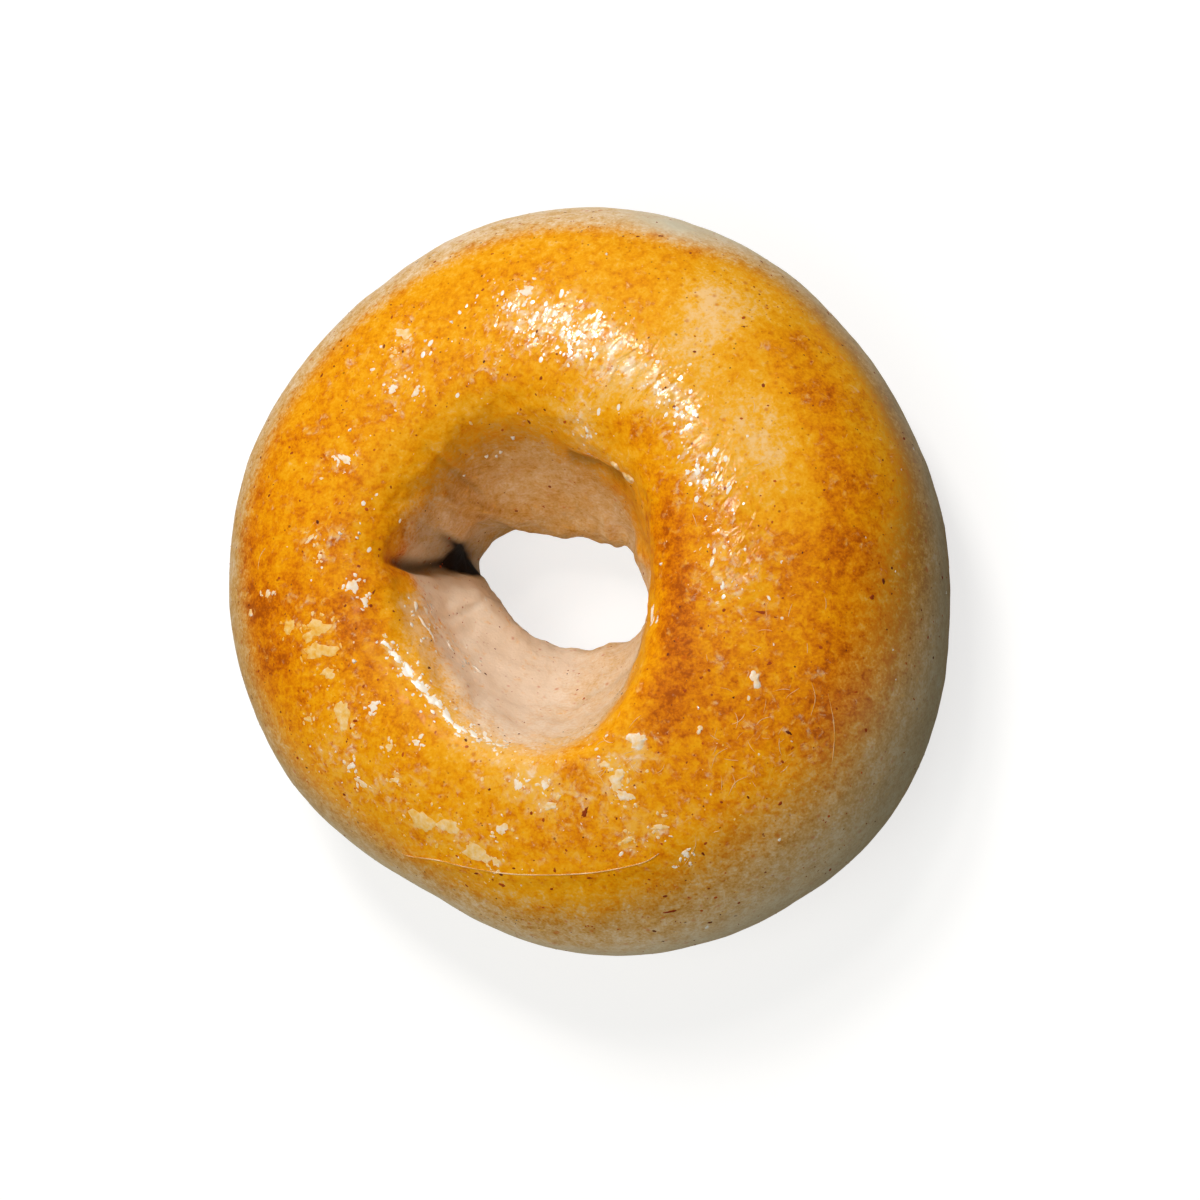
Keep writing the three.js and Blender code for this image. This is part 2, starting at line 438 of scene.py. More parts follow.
coords = np.empty(len(crustMesh.vertices) * 3)
crustMesh.vertices.foreach_get("co", coords)
coords = coords.reshape(-1, 3) / mm
normals = np.empty(len(crustMesh.vertices) * 3)
crustMesh.vertices.foreach_get("normal", normals)
normals = normals.reshape(-1, 3)
plan = coords[:, :2]
fromMiddle = plan - np.array(crustLayout["ringMiddle"])
outward = fromMiddle / np.linalg.norm(fromMiddle, axis=1)[:, None]
facing = (normals[:, :2] * outward).sum(1)
latitude = (np.degrees(np.arctan2(normals[:, 2], facing)) + 90) % 360 - 90
direction = np.degrees(np.arctan2(fromMiddle[:, 1], fromMiddle[:, 0])) % 360
heights = coords[:, 2]
upper = np.clip(normals[:, 2] * 4 + 0.6, 0, 1)  # leaves out what faces sideways or down
inside = latitude > crustLayout["insideFrom"]
edges = {name: around(direction, crustLayout[name]) for name in (
    "outerEdge", "innerEdge", "outerSoftness", "innerSoftness", "shoulder", "crestTone", "hollowToneAndPaintedLight",
    "outerTone", "shadeGreyReach")}
overEdge = latitude - edges["outerEdge"]
aboveEdge = heights - edges["innerEdge"]
layout = {
    name: spots(plan, crustLayout[name]) * upper
    for name in ("milky", "crinkled", "glossy", "wrinkled", "greyed")}
# Painted shade: a grey-green band round the waist. The grey patch near the top of the ring is the dough
# skin's own grey.
layout["greyed"] += crustLayout["shadeGreyStrength"] * bell(latitude, crustLayout["waist"], edges["shadeGreyReach"])
# Along the rim arc: real gloss, plus a pale film that is a painted highlight.
onArc = strokes(plan, crustLayout["rimArc"]) * upper
for name, share in crustLayout["arcShares"].items():
    layout[name] += share * onArc
deepest = crustLayout["deepest"]
browning = np.minimum(
    overEdge / edges["outerSoftness"], np.where(inside, aboveEdge / edges["innerSoftness"], deepest))
layout["crustDepth"] = np.clip(browning, -deepest, deepest)
layout["tone"] = upper * (
    spots(plan, crustLayout["tone"]) + strokes(plan, crustLayout["bands"])
    + edges["shoulder"] * bell(latitude, *crustLayout["shoulderBand"])
    + edges["crestTone"] * bell(latitude, *crustLayout["crestBand"]))
intoHollow = (latitude - crustLayout["hollowFrom"]) / crustLayout["hollowSoftness"]
layout["hollow"] = np.clip(intoHollow, 0, 1) * (latitude < crustLayout["hollowTo"])
pastNeck = latitude > crustLayout["neckFrom"]
belowNeck = np.clip((crustLayout["neckTop"] - heights) / crustLayout["neckSoftness"], 0, 1)
inNeck = belowNeck * pastNeck * (latitude < crustLayout["neckCarvedTo"])
creaseShadeLines = np.clip(strokes(plan, crustLayout["creased"]), 0, 1)
layout["creased"] = creaseShadeLines * np.clip(layout["hollow"] * 2, 0, 1)
layout["carved"] = mm * (
    strokes(plan, crustLayout["carved"]) * upper + strokes(plan, crustLayout["neckCarved"]) * inNeck)
byCrust = np.where(
    inside, aboveEdge / crustLayout["tanHeight"] + 1, overEdge / crustLayout["tanDegrees"] + 1)
tan = crustLayout["tan"] - crustLayout["lessTanInside"] * layout["hollow"]
layout["doughTone"] = (  # golden tan next to the crust, paler and pinker in the hole
    crustLayout["doughShade"] + np.clip(byCrust, 0, crustLayout["mostTan"]) * tan
    + (1 - layout["hollow"]) * edges["outerTone"]
    + layout["hollow"] * (edges["hollowToneAndPaintedLight"] - crustLayout["palerInside"]))
layout["neck"] = (
    bell(heights, *crustLayout["ruffleBand"]) * pastNeck * (latitude < crustLayout["ruffleTo"]))
layout["foot"] = np.clip(1 - heights / crustLayout["footBelow"], 0, 1) * np.clip(-normals[:, 2], 0, 1)
layout["footEdge"] = bell(heights, *crustLayout["footEdgeBand"]) * (facing > 0)
for name, values in layout.items():
    crustMesh.attributes.new(name, "FLOAT", "POINT").data.foreach_set("value", values.astype(np.float32))
print("crust layout")

# The relief of the crust: size and height in mm, detail, and the layout value that limits it.
reliefLayers = {
    "lump": {"size": 26.0, "height": 0.9, "detail": 1.0, "where": None},
    "dimple": {"size": 7.0, "height": 0.4, "detail": 2.0, "where": None},
    "pucker": {"size": 2.6, "height": 0.12, "detail": 2.0, "where": None},
    "wrinkle": {"size": 2.2, "height": 0.7, "detail": 1.0, "where": "wrinkled"},
    "wallFold": {"size": 4.2, "height": 1.5, "detail": 2.0, "where": "hollow"},
    "ruffle": {"size": 6.5, "height": 2.4, "detail": 1.0, "where": "neck"},
}
relief, given = newTree(
    "crustRelief", [name + part for name in reliefLayers for part in ("Size", "Height")])
height = addNode(relief, "GeometryNodeInputNamedAttribute", {"Name": "carved"}).outputs["Attribute"]
for name, layer in reliefLayers.items():
    scale = addNode(relief, "ShaderNodeMath", {0: 1.0, 1: given[name + "Size"]}, operation="DIVIDE")
    bumps = addNode(relief, "ShaderNodeTexNoise", {"Scale": scale.outputs[0], "Detail": layer["detail"]})
    lifted = addNode(
        relief, "ShaderNodeMath", {0: bumps.outputs[0], 1: 0.5}, operation="SUBTRACT").outputs[0]
    if layer["where"]:
        limit = addNode(relief, "GeometryNodeInputNamedAttribute", {"Name": layer["where"]})
        lifted = addNode(relief, "ShaderNodeMath", {
            0: lifted, 1: limit.outputs["Attribute"]}, operation="MULTIPLY").outputs[0]
    height = weigh(relief, height, (lifted, given[name + "Height"]))
normal = addNode(relief, "GeometryNodeInputNormal")
offset = addNode(
    relief, "ShaderNodeVectorMath", {0: normal.outputs["Normal"], "Scale": height}, operation="SCALE")
raised = addNode(
    relief, "GeometryNodeSetPosition", {"Geometry": given["Geometry"], "Offset": offset.outputs["Vector"]})
endTree(relief, raised.outputs["Geometry"], given)

# Boiled and baked wheat dough, golden on top where the oven's heat and an egg wash met it and pale below.
# The skin is thin, glossy and smooth, apart from where the wash dried into a crinkled net.
crustLook = {
    "patterns": {  # size in mm, detail, roughness, distortion, drawn out up and to the right or not
        "broad": (30, 2, 0.5, 0.0, False), "mottle": (6.5, 5, 0.6, 0.4, False),
        "freckle": (1.5, 4, 0.62, 0.3, False), "grain": (0.42, 2, 0.5, 0.0, False),
        "film": (1.7, 5, 0.66, 0.5, False), "streak": (0.8, 3, 0.6, 0.4, True),
        "crinkle": (1.9, 2, 0.5, 0.4, True), "patch": (1.2, 3, 0.55, 0.4, True),
    },
    "swirl": (9, 3),  # size in mm of the swirls that bend the drawn-out patterns, and how far they do
    "drawnOut": (50, 2.2),  # degrees from +X, and how many times as long as wide
    "sums": {  # a start, and the shares of the patterns and the layout that are added to it
        "browned": (-2.5, {"crustDepth": 1.0, "mottle": 1.0, "freckle": 2.4, "grain": 1.6}),
        "crust": (-0.81, {"tone": 1.0, "broad": 0.35, "mottle": 0.7, "freckle": 1.05, "grain": 0.5}),
        "dough": (-0.3, {"doughTone": 1.0, "mottle": 0.6, "footEdge": 0.4, "foot": 0.5}),
        # The crinkled zones also whiten the film and the streaks: partly painted sheen where the glints
        # are.
        "film": (-0.06, {"freckle": 1.0, "crinkled": 0.12}),
        "fuzz": (-0.6, {"freckle": 0.7, "grain": 0.5}),
        "fuzzShare": (1.5, {"hollow": -0.4}),
        "filmed": (0.0, {"film": 0.7, "mottle": 0.3, "milky": 0.14}),
        "streaked": (-0.16, {"streak": 1.0, "crinkled": 0.12, "milky": 0.09}),
        "washed": (0.0, {"patch": 1.0}),
        "glazed": (0.06, {"crinkled": 0.25, "glossy": 1.2}),
        "crinkleHeight": (0.1, {"crinkled": 1.1}),
        "freckleHeight": (0.14, {"hollow": 0.2}),
    },
    "steps": {  # where a sum starts and stops counting, and the amounts it goes between
        "browned": (-1.2, 1.2, 0.0, 1.0), "filmed": (0.55, 0.72, 0.0, 0.75),
        "streaked": (0.5, 0.64, 0.0, 0.55), "washed": (0.47, 0.54, 0.08, 1.0),
    },
    "crust": [(0.0, "f4c684"), (0.16, "f3ba5c"), (0.3, "f3ae28"), (0.44, "f0a40c"), (0.56, "eb9803"),
              (0.7, "df8401"), (0.85, "cc6c02"), (1.0, "ac5202")],
    "dough": [(0.0, "f4e2cc"), (0.3, "eccea8"), (0.45, "e4c08e"), (0.65, "d9a864"), (0.85, "c88f3a"),
              (1.0, "b4772a")],
    "film": [(0.38, "f3b845"), (0.5, "f4c776"), (0.64, "fae4c2")],
    "specks": {  # cell size in mm, edge and core radius in cells, unevenness, strength, colour
        "toast": (1.4, 0.46, 0.14, 0.55, 0.6, "cc6006"),
        "pepper": (0.8, 0.36, 0.12, 0.5, 0.75, "b04806"),
        "bran": (2.1, 0.18, 0.08, 0.3, 0.8, "843806"),
    },
    "ragged": 0.2,  # how far the grain moves a speck's edge, in cells
    "smallerInHollow": 0.05,
    # The grey tint is partly painted shade; the near-black crease colour is painted shade.
    "tintsAndPaintedShade": {"greyed": "dad4be", "creased": "1c120e"},
    "bumpDepth": 0.5,
    "grainHeight": 0.08,
    "doughRoughness": 0.7,
    "crustRoughness": 0.55,
}
bakedDough, tree = newMaterial("bakedDough")
place = addNode(tree, "ShaderNodeTexCoord").outputs["Object"]
swirlSize, swirlReach = crustLook["swirl"]
turn, stretch = crustLook["drawnOut"]
swirl = addNode(tree, "ShaderNodeTexNoise", {"Vector": place, "Scale": 1 / (swirlSize * mm), "Detail": 1.0})
swirled = addNode(tree, "ShaderNodeVectorMath", {
    0: swirl.outputs["Color"], 1: (swirlReach * mm,) * 3, 2: place},
    operation="MULTIPLY_ADD").outputs["Vector"]
drawnOut = addNode(tree, "ShaderNodeMapping", {
    "Vector": swirled, "Rotation": (0, 0, math.radians(turn)), "Scale": (stretch, 1.0, 1.0)},
    vector_type="TEXTURE").outputs["Vector"]
parts = {
    name: addNode(tree, "ShaderNodeAttribute", attribute_name=name).outputs["Fac"] for name in layout}
for name, (size, detail, rough, distortion, drawn) in crustLook["patterns"].items():
    parts[name] = addNode(tree, "ShaderNodeTexNoise", {
        "Vector": drawnOut if drawn else place, "Scale": 1 / (size * mm), "Detail": detail,
        "Roughness": rough, "Distortion": distortion}).outputs["Fac"]

sums = {
    name: weigh(tree, start, *((parts[part], share) for part, share in shares.items()))
    for name, (start, shares) in crustLook["sums"].items()}
sums["dough"] = weigh(tree, sums["dough"], (sums["fuzz"], sums["fuzzShare"]))
amounts = {
    name: addNode(tree, "ShaderNodeMapRange", {
        "Value": sums[name], "From Min": low, "From Max": high, "To Min": least, "To Max": most},
        interpolation_type="SMOOTHSTEP").outputs["Result"]
    for name, (low, high, least, most) in crustLook["steps"].items()}
colours = {
    name: addNode(tree, "ShaderNodeValToRGB", {"Fac": sums[name]}, stops=crustLook[name]).outputs["Color"]
    for name in ("crust", "dough", "film")}

# From the dough outwards: the crust, a pale film in ragged patches and fine streaks, specks, a grey tint
# that is partly painted shade, and near-black painted shade in the creases.
layers = [
    (amounts["browned"], colours["crust"]), (amounts["filmed"], colours["film"]),
    (amounts["streaked"], colours["film"])]
for size, edge, core, uneven, strength, code in crustLook["specks"].values():
    cells = addNode(tree, "ShaderNodeTexVoronoi", {"Vector": place, "Scale": 1 / (size * mm)}).outputs
    reach = weigh(
        tree, cells["Distance"], (cells["Color"], uneven), (parts["grain"], crustLook["ragged"]),
        (parts["hollow"], crustLook["smallerInHollow"]))
    usual = crustLook["ragged"] / 2  # what the grain adds on average
    speck = addNode(tree, "ShaderNodeMapRange", {
        "Value": reach, "From Min": edge + usual, "From Max": core + usual, "To Max": strength},
        interpolation_type="SMOOTHSTEP").outputs["Result"]
    layers.append((speck, fromHex(code)))
layers += [(parts[name], fromHex(code)) for name, code in crustLook["tintsAndPaintedShade"].items()]
colour = colours["dough"]
for amount, over in layers:
    colour = addNode(
        tree, "ShaderNodeMix", {0: amount, 6: colour, 7: over}, data_type="RGBA").outputs[2]

skin = weigh(
    tree, 0.0, (parts["crinkle"], sums["crinkleHeight"]), (parts["freckle"], sums["freckleHeight"]),
    (parts["grain"], crustLook["grainHeight"]))
bump = addNode(tree, "ShaderNodeBump", {
    "Strength": 1.0, "Distance": crustLook["bumpDepth"] * mm, "Height": skin}).outputs["Normal"]
rough = addNode(tree, "ShaderNodeMapRange", {
    "Value": amounts["browned"], "To Min": crustLook["doughRoughness"],
    "To Max": crustLook["crustRoughness"]}).outputs["Result"]
coat = addNode(
    tree, "ShaderNodeMath", {0: sums["glazed"], 1: amounts["washed"]}, operation="MULTIPLY",
    use_clamp=True).outputs[0]
shader = addNode(tree, "ShaderNodeBsdfPrincipled", {
    "Base Color": colour, "Roughness": rough, "Normal": bump, "Coat Weight": coat, "Coat Roughness": 0.07,
    "Coat IOR": 1.6, "Coat Normal": bump, "IOR": 1.45, "Specular IOR Level": 0.12})
addNode(tree, "ShaderNodeOutputMaterial", {"Surface": shader.outputs["BSDF"]})

reliefSizes = {}
for name, layer in reliefLayers.items():
    reliefSizes[name + "Size"] = layer["size"]
    reliefSizes[name + "Height"] = layer["height"]
crustMesh = runTree(crust, relief, bakedDough, reliefSizes)
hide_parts("bagel")
print("crust relief")

crustSurface = BVHTree.FromPolygons(
    [vertex.co.copy() for vertex in crustMesh.vertices],
    [tuple(polygon.vertices) for polygon in crustMesh.polygons])


# The point of the crust that shows from above at x, y in mm, and its normal.
def onCrust(x, y):
    spot, normal, _, _ = crustSurface.ray_cast(Vector((x * mm, y * mm, 0.1)), Vector((0, 0, -1)))
    return spot, normal


patchSet = {  # sizes in mm, or as shares of the patch's own
    "waves": (2, 3, 5, 7, 9),    # how many times round each wave of the edge comes
    "waveSize": (0.2, 0.6),
    "waveFade": 0.7,             # how quickly the finer waves get smaller
    "unevenTop": (0.6, 1.4),
    "edgeSunk": 0.05,
    "crumbAway": (0.45, 0.95),
    "crumbGap": 0.2,
    "crumbSize": (0.3, 0.8),
    "crumbShrink": (0.6, 1.0),
    "crumbStretch": (1.0, 1.8),
    "crumbShade": 0.15,
    "crumbMesh": (3, 9),         # its rings, and the steps round each
}


# An irregular patch that lies on the crust, at (x, y, length, width, turn, rise, shade).
def layPatch(mesh, shadeLayer, patch, draws, rings=5, steps=22):
    x, y, long, wide, turn, rise, shade = patch
    centre, normal = onCrust(x, y)
    alongIt = Vector((math.cos(math.radians(turn)), math.sin(math.radians(turn)), 0))
    alongIt = (alongIt - normal * alongIt.dot(normal)).normalized()
    acrossIt = normal.cross(alongIt)
    waves = [
        (k, draws.uniform(*patchSet["waveSize"]) / k ** patchSet["waveFade"], draws.uniform(0, math.tau))
        for k in patchSet["waves"]]
    rows = [[mesh.verts.new(centre + normal * rise * mm)]]
    for ring in range(1, rings + 1):
        share = ring / rings
        row = []
        for step in range(steps):
            angle = math.tau * step / steps
            wavy = sum(size * math.sin(k * angle + phase) for k, size, phase in waves)
            reach = share * (1 + share * wavy)
            target = (centre + alongIt * (0.5 * long * mm * reach * math.cos(angle))
                      + acrossIt * (0.5 * wide * mm * reach * math.sin(angle)))
            spot, face, _, _ = crustSurface.find_nearest(target)
            sunk = share ** 4  # 1 at the edge, and hardly any further in
            lift = rise * (1 - sunk) * draws.uniform(*patchSet["unevenTop"]) - patchSet["edgeSunk"] * sunk
            row.append(mesh.verts.new(spot + face * lift * mm))
        rows.append(row)
    for vertex in (vertex for row in rows for vertex in row):
        vertex[shadeLayer] = shade
    for step in range(steps):
        after = (step + 1) % steps
        mesh.faces.new((rows[0][0], rows[1][step], rows[1][after]))
        for inner, outer in zip(rows[1:-1], rows[2:]):
            mesh.faces.new((inner[step], outer[step], outer[after], inner[after]))


# A piece made of placed patches, each with a few crumbs round it.
def addPatches(name, patches, seed, material, thinned=1.0, crumbs=0):
    draws = random.Random(seed)
    mesh = bmesh.new()
    shadeLayer = mesh.verts.layers.float.new("shade")
    for x, y, long, wide, turn, rise, shade in patches:
        layPatch(mesh, shadeLayer, (x, y, long, wide, turn, rise * thinned, shade), draws)
        for _ in range(crumbs):
            angle = draws.uniform(0, math.tau)
            away = draws.uniform(*patchSet["crumbAway"]) * (long + wide) / 2 + patchSet["crumbGap"]
            size = draws.uniform(*patchSet["crumbSize"]) * draws.uniform(*patchSet["crumbShrink"])
            length = size * draws.uniform(*patchSet["crumbStretch"])
            heading = draws.uniform(0, 360)
            tint = shade + draws.uniform(-patchSet["crumbShade"], patchSet["crumbShade"])
            layPatch(mesh, shadeLayer, (
                x + away * math.cos(angle), y + away * math.sin(angle), length, size, heading,
                rise * thinned, tint), draws, *patchSet["crumbMesh"])
    data = bpy.data.meshes.new(name)
    mesh.to_mesh(data)
    mesh.free()
    data.materials.append(material)
    for polygon in data.polygons:
        polygon.use_smooth = True
    return addObject(name, data)


# Scraps of dough skin that dried on the wash: matt, cream to straw, a little rough to the light.
driedDough, tree = newMaterial("driedDough")
place = addNode(tree, "ShaderNodeTexCoord").outputs["Object"]
shade = addNode(tree, "ShaderNodeAttribute", attribute_name="shade").outputs["Fac"]
cloudy = addNode(tree, "ShaderNodeTexNoise", {"Vector": place, "Scale": 1 / (0.8 * mm), "Detail": 4})
scrapColour = addNode(
    tree, "ShaderNodeValToRGB", {"Fac": weigh(tree, -0.5, (shade, 0.9), (cloudy.outputs["Fac"], 1.5))},
    stops=[(0.0, "eda62c"), (0.3, "f1bf62"), (0.6, "f4d096"), (0.8, "f5dcbc"), (1.0, "f8ead8")])
pitted = addNode(tree, "ShaderNodeBump", {
    "Distance": 0.1 * mm, "Height": cloudy.outputs["Fac"]}).outputs["Normal"]
shader = addNode(tree, "ShaderNodeBsdfPrincipled", {
    "Base Color": scrapColour.outputs["Color"], "Roughness": 0.55, "IOR": 1.45, "Specular IOR Level": 0.3,
    "Normal": pitted})
addNode(tree, "ShaderNodeOutputMaterial", {"Surface": shader.outputs["BSDF"]})

paleFlakes = addPatches("paleFlakes", [
    (-34.3, -9.4, 4.2, 2.8, 20, 0.14, 0.1), (-39.4, -8.8, 3.0, 2.0, 80, 0.12, 0.0),
    (-36.0, -10.6, 2.4, 1.6, 30, 0.12, 0.05), (-34.0, -12.8, 5.6, 3.0, -8, 0.14, 0.05),
    (-32.7, -16.2, 2.8, 1.8, 15, 0.12, 0.2), (-30.5, -22.5, 4.8, 3.0, 70, 0.14, 0.15),
    (-18.8, -38.4, 5.0, 3.6, -50, 0.15, 0.15), (-14.4, -39.4, 4.0, 2.8, 0, 0.12, 0.2),
    (-10.3, -43.4, 6.4, 2.5, -28, 0.15, 0.25), (-7.4, -44.7, 2.0, 1.4, -30, 0.12, 0.4),
    (-5.7, -40.2, 2.2, 1.9, 80, 0.12, 0.6), (-2.7, -34.1, 2.2, 1.2, 85, 0.12, 0.8),
    (12.4, -33.9, 3.5, 2.2, 60, 0.2, 0.45), (13.4, -36.2, 2.8, 1.6, -30, 0.2, 0.5),
    (10.7, -31.7, 1.6, 1.2, 0, 0.15, 0.4), (2.1, -37.3, 2.2, 1.4, 10, 0.16, 0.5),
    (1.5, -34.3, 1.5, 1.2, 0, 0.15, 0.75), (18.0, -40.7, 2.9, 0.9, 12, 0.12, 0.45),
    (13.2, -42.4, 1.7, 1.1, 30, 0.12, 0.3), (21.2, -44.4, 1.2, 1.3, 0, 0.15, 0.9),
    (-28.9, -3.3, 2.4, 1.7, 70, 0.18, 0.85), (-27.1, -5.7, 1.6, 1.2, -60, 0.16, 0.8),
    (-25.3, -21.5, 2.0, 1.4, 10, 0.18, 0.95), (-35.8, 4.2, 2.4, 0.7, 35, 0.12, 0.4),
    (-29.8, -29.9, 1.6, 1.2, 30, 0.14, 0.8), (-43.3, -3.4, 1.8, 0.9, 50, 0.12, 0.5),
    (-36.7, -22.6, 1.6, 1.1, 10, 0.1, 0.2), (-18.5, -27.2, 1.5, 1.0, 0, 0.1, 0.7),
    (-22.9, -27.7, 1.7, 1.1, 20, 0.1, 0.4), (-28.2, -32.6, 2.0, 1.1, -25, 0.12, 0.5),
    (-22.4, -32.4, 1.6, 1.0, 0, 0.1, 0.4), (-21.6, 34.9, 2.8, 2.2, -35, 0.14, 0.35),
    (-22.8, 26.2, 1.8, 1.5, 0, 0.12, 0.7), (-19.0, 25.4, 1.6, 1.3, 40, 0.12, 0.6),
    (-22.8, 32.1, 0.9, 0.8, 0, 0.1, 0.4), (-30.3, 16.0, 2.6, 1.4, -30, 0.14, 0.8),
    (-1.9, 39.8, 2.4, 1.8, -10, 0.12, 0.7), (-34.1, 1.4, 1.2, 0.8, 20, 0.1, 0.4),
], 11, driedDough, thinned=0.45, crumbs=6)

blisters = addPatches("blisters", [
    (15.6, -28.4, 3.2, 2.2, 15, 0.4, 0.6), (32.9, -20.1, 2.3, 1.6, -75, 0.4, 0.7),
    (17.0, -9.6, 2.4, 0.8, 65, 0.35, 0.9), (-47.0, -5.8, 1.4, 1.0, 60, 0.2, 0.4),
    (24.8, -27.1, 1.2, 0.9, 40, 0.2, 0.5), (12.2, 11.9, 2.4, 2.0, 30, 0.7, 0.35),
    (10.4, 13.6, 1.7, 1.2, 120, 0.5, 0.3),
], 12, driedDough, thinned=0.7)

# Bran from the flour, toasted to a red brown: flat matt chips, half sunk in the crust.
toastedBran, tree = newMaterial("toastedBran")
shade = addNode(tree, "ShaderNodeAttribute", attribute_name="shade").outputs["Fac"]
branColour = addNode(
    tree, "ShaderNodeValToRGB", {"Fac": shade}, stops=[(0.0, "c05408"), (0.6, "8e3606"), (1.0, "54220a")])
shader = addNode(tree, "ShaderNodeBsdfPrincipled", {
    "Base Color": branColour.outputs["Color"], "Roughness": 0.6, "IOR": 1.45, "Specular IOR Level": 0.3})
addNode(tree, "ShaderNodeOutputMaterial", {"Surface": shader.outputs["BSDF"]})

branDashes = addPatches("branDashes", [
    (33.8, -10.4, 1.9, 0.45, -8, 0.06, 0.5), (34.9, -17.8, 0.8, 0.5, 30, 0.06, 0.4),
    (37.2, -27.7, 1.0, 0.5, -35, 0.08, 0.9), (35.1, -37.5, 0.9, 0.5, 20, 0.06, 0.5),
    (22.8, -21.5, 0.7, 0.5, 0, 0.06, 0.3), (25.2, -19.7, 0.6, 0.5, 0, 0.06, 0.3),
    (50.0, -5.4, 0.9, 0.6, 70, 0.08, 0.9), (48.6, -7.9, 1.0, 0.7, 20, 0.06, 0.5),
    (7.3, -38.4, 1.7, 0.8, 55, 0.1, 0.6), (17.1, -52.1, 1.9, 0.6, -5, 0.08, 0.6),
    (21.7, -53.4, 0.9, 0.5, 15, 0.08, 0.9), (23.6, -44.4, 0.8, 0.4, -50, 0.06, 0.8),
    (6.8, -47.5, 0.7, 0.5, 0, 0.06, 0.5), (1.8, -46.3, 0.8, 0.5, 80, 0.06, 0.4),
    (-7.3, -47.9, 1.3, 0.7, 10, 0.06, 0.3), (-26.9, -18.5, 0.5, 0.5, 0, 0.06, 0.3),
    (-18.0, -15.6, 0.6, 0.5, 0, 0.06, 0.9), (-11.0, -27.1, 0.6, 0.5, 0, 0.06, 0.9),
    (-9.3, -26.9, 0.5, 0.4, 0, 0.06, 0.7), (-2.7, 20.7, 1.3, 0.4, 85, 0.06, 0.6),
    (-26.3, -6.3, 0.8, 0.5, -30, 0.06, 0.6), (-26.0, -4.2, 0.9, 0.4, 60, 0.06, 0.5),
], 13, toastedBran)
print("placed flakes, blisters and bran")

# Scatters chips over the crust, more of them where a layout value is high, each turned and sized by chance.
scatterSizes = [
    "Density", "EverywhereDensity", "Smallest", "Largest", "Stretch", "Turn", "Thickness", "Raggedness"]


def scatterTree(name, limit, seed, detail):
    tree, given = newTree(name, scatterSizes)
    value = addNode(tree, "GeometryNodeInputNamedAttribute", {"Name": limit}).outputs["Attribute"]
    density = weigh(tree, given["EverywhereDensity"], (value, given["Density"]))
    points = addNode(tree, "GeometryNodeDistributePointsOnFaces", {
        "Mesh": given["Geometry"], "Density": density, "Seed": seed})
    flat = addNode(tree, "FunctionNodeAlignRotationToVector", {
        "Vector": points.outputs["Normal"]}, axis="Z").outputs["Rotation"]
    slanting = addNode(tree, "FunctionNodeAlignRotationToVector", {  # long side up and to the right
        "Rotation": flat, "Vector": (0.64, 0.77, 0.0)}, axis="X", pivot_axis="Z").outputs["Rotation"]
    draws = {}
    for offset, (draw, low, high) in enumerate((
            ("size", 0.0, 1.0), ("stretch", 1.0, given["Stretch"]), ("turn", 0.0, given["Turn"]),
            ("shade", 0.0, 1.0))):
        draws[draw] = addNode(
            tree, "FunctionNodeRandomValue", {2: low, 3: high, "Seed": seed + offset}).outputs[1]
    squared = addNode(
        tree, "ShaderNodeMath", {0: draws["size"], 1: 3.0}, operation="POWER").outputs[0]
    extra = addNode(tree, "ShaderNodeMath", {
        0: given["Largest"], 1: given["Smallest"]}, operation="SUBTRACT").outputs[0]
    wide = weigh(tree, given["Smallest"], (squared, extra))
    long = addNode(tree, "ShaderNodeMath", {0: wide, 1: draws["stretch"]}, operation="MULTIPLY").outputs[0]
    size = addNode(tree, "ShaderNodeCombineXYZ", {"X": long, "Y": wide, "Z": given["Thickness"]})
    chip = addNode(tree, "GeometryNodeMeshIcoSphere", {"Radius": 0.5, "Subdivisions": detail})
    placed = addNode(tree, "GeometryNodeInstanceOnPoints", {
        "Points": points.outputs["Points"], "Instance": chip.outputs["Mesh"],
        "Rotation": slanting, "Scale": size.outputs["Vector"]})
    spin = addNode(tree, "ShaderNodeCombineXYZ", {"Z": draws["turn"]})
    turned = addNode(tree, "GeometryNodeRotateInstances", {
        "Instances": placed.outputs["Instances"], "Rotation": spin.outputs["Vector"]})
    shaded = addNode(tree, "GeometryNodeStoreNamedAttribute", {
        "Geometry": turned.outputs["Instances"], "Name": "shade", "Value": draws["shade"]},
        data_type="FLOAT", domain="INSTANCE")
    real = addNode(tree, "GeometryNodeRealizeInstances", {"Geometry": shaded.outputs["Geometry"]})
    waves = addNode(tree, "ShaderNodeTexNoise", {"Scale": 1 / (0.5 * mm), "Detail": 1.0})
    centred = addNode(tree, "ShaderNodeVectorMath", {
        0: waves.outputs["Color"], 1: (0.5, 0.5, 0.5)}, operation="SUBTRACT")
    pushed = addNode(tree, "ShaderNodeVectorMath", {
        0: centred.outputs["Vector"], "Scale": given["Raggedness"]}, operation="SCALE")
    ragged = addNode(tree, "GeometryNodeSetPosition", {
        "Geometry": real.outputs["Geometry"], "Offset": pushed.outputs["Vector"]})
    endTree(tree, ragged.outputs["Geometry"], given, smooth=False)
    return tree


def scatterPiece(name, limit, seed, detail, material, sizes):
    piece = addObject(name, crustMesh.copy())
    runTree(piece, scatterTree(name, limit, seed, detail), material, sizes, plain=("Stretch", "Turn"))
    print(name, len(piece.data.polygons), "faces")
    return piece


